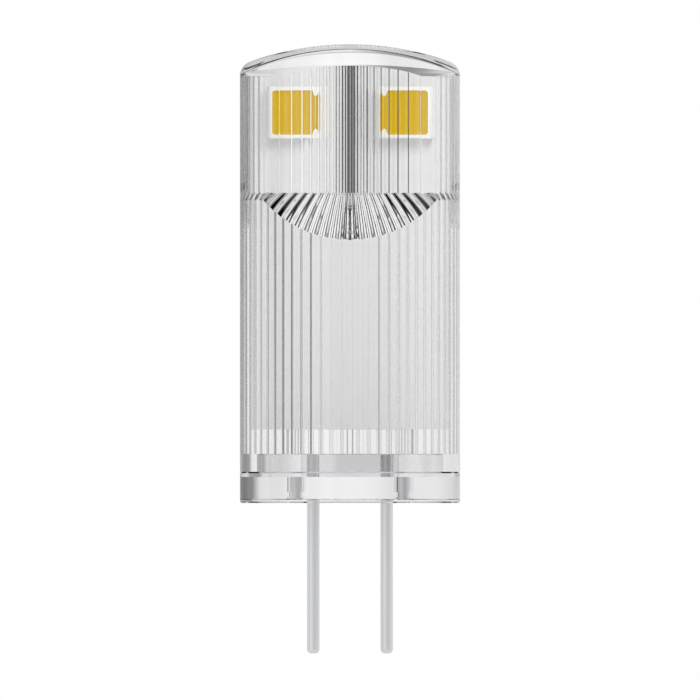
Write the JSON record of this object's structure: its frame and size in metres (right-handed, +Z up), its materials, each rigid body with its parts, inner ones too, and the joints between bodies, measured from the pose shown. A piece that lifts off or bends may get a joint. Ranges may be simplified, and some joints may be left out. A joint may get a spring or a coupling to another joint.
{
  "type": "led capsule bulb",
  "caption": "Two-pin LED capsule lamp: a clear tube with an arched roof, fluted inside, over a board with packaged emitters, on a clear base with wire pins.",
  "frame": {"origin": "middle of the base's seating face, between the two contact pins", "axes": "+Z up the lamp's axis to the roof, +X across the two pins to the right as seen from the front; the front of the board faces -Y"},
  "size_m": [0.012, 0.012, 0.0332],
  "materials": {
    "cover_plastic": "polished",
    "base_plastic": "polished",
    "pin_metal": "satin",
    "solder_metal": "glossy",
    "board_white": "satin",
    "led_white": "matte",
    "phosphor_yellow": "satin",
    "die_blue": "polished",
    "package_black": "matte",
    "capacitor_tan": "matte",
    "resistor_black": "satin"
  },
  "bodies": {
    "root": {"cover": "cover_plastic", "base": "base_plastic", "pin_left": "pin_metal", "pin_right": "pin_metal", "solder_left": "solder_metal", "solder_right": "solder_metal", "board": "board_white", "led_front_left": "led_white", "led_front_right": "led_white", "led_rear_left": "led_white", "led_rear_right": "led_white", "phosphor_front_left": "phosphor_yellow", "phosphor_front_right": "phosphor_yellow", "phosphor_rear_left": "phosphor_yellow", "phosphor_rear_right": "phosphor_yellow", "die_front_left": "die_blue", "die_front_right": "die_blue", "die_rear_left": "die_blue", "die_rear_right": "die_blue", "rectifier": "package_black", "driver_chip": "package_black", "capacitor_left": "capacitor_tan", "capacitor_right": "capacitor_tan", "resistor_left": "resistor_black", "resistor_right": "resistor_black"}
  },
  "joints": []
}
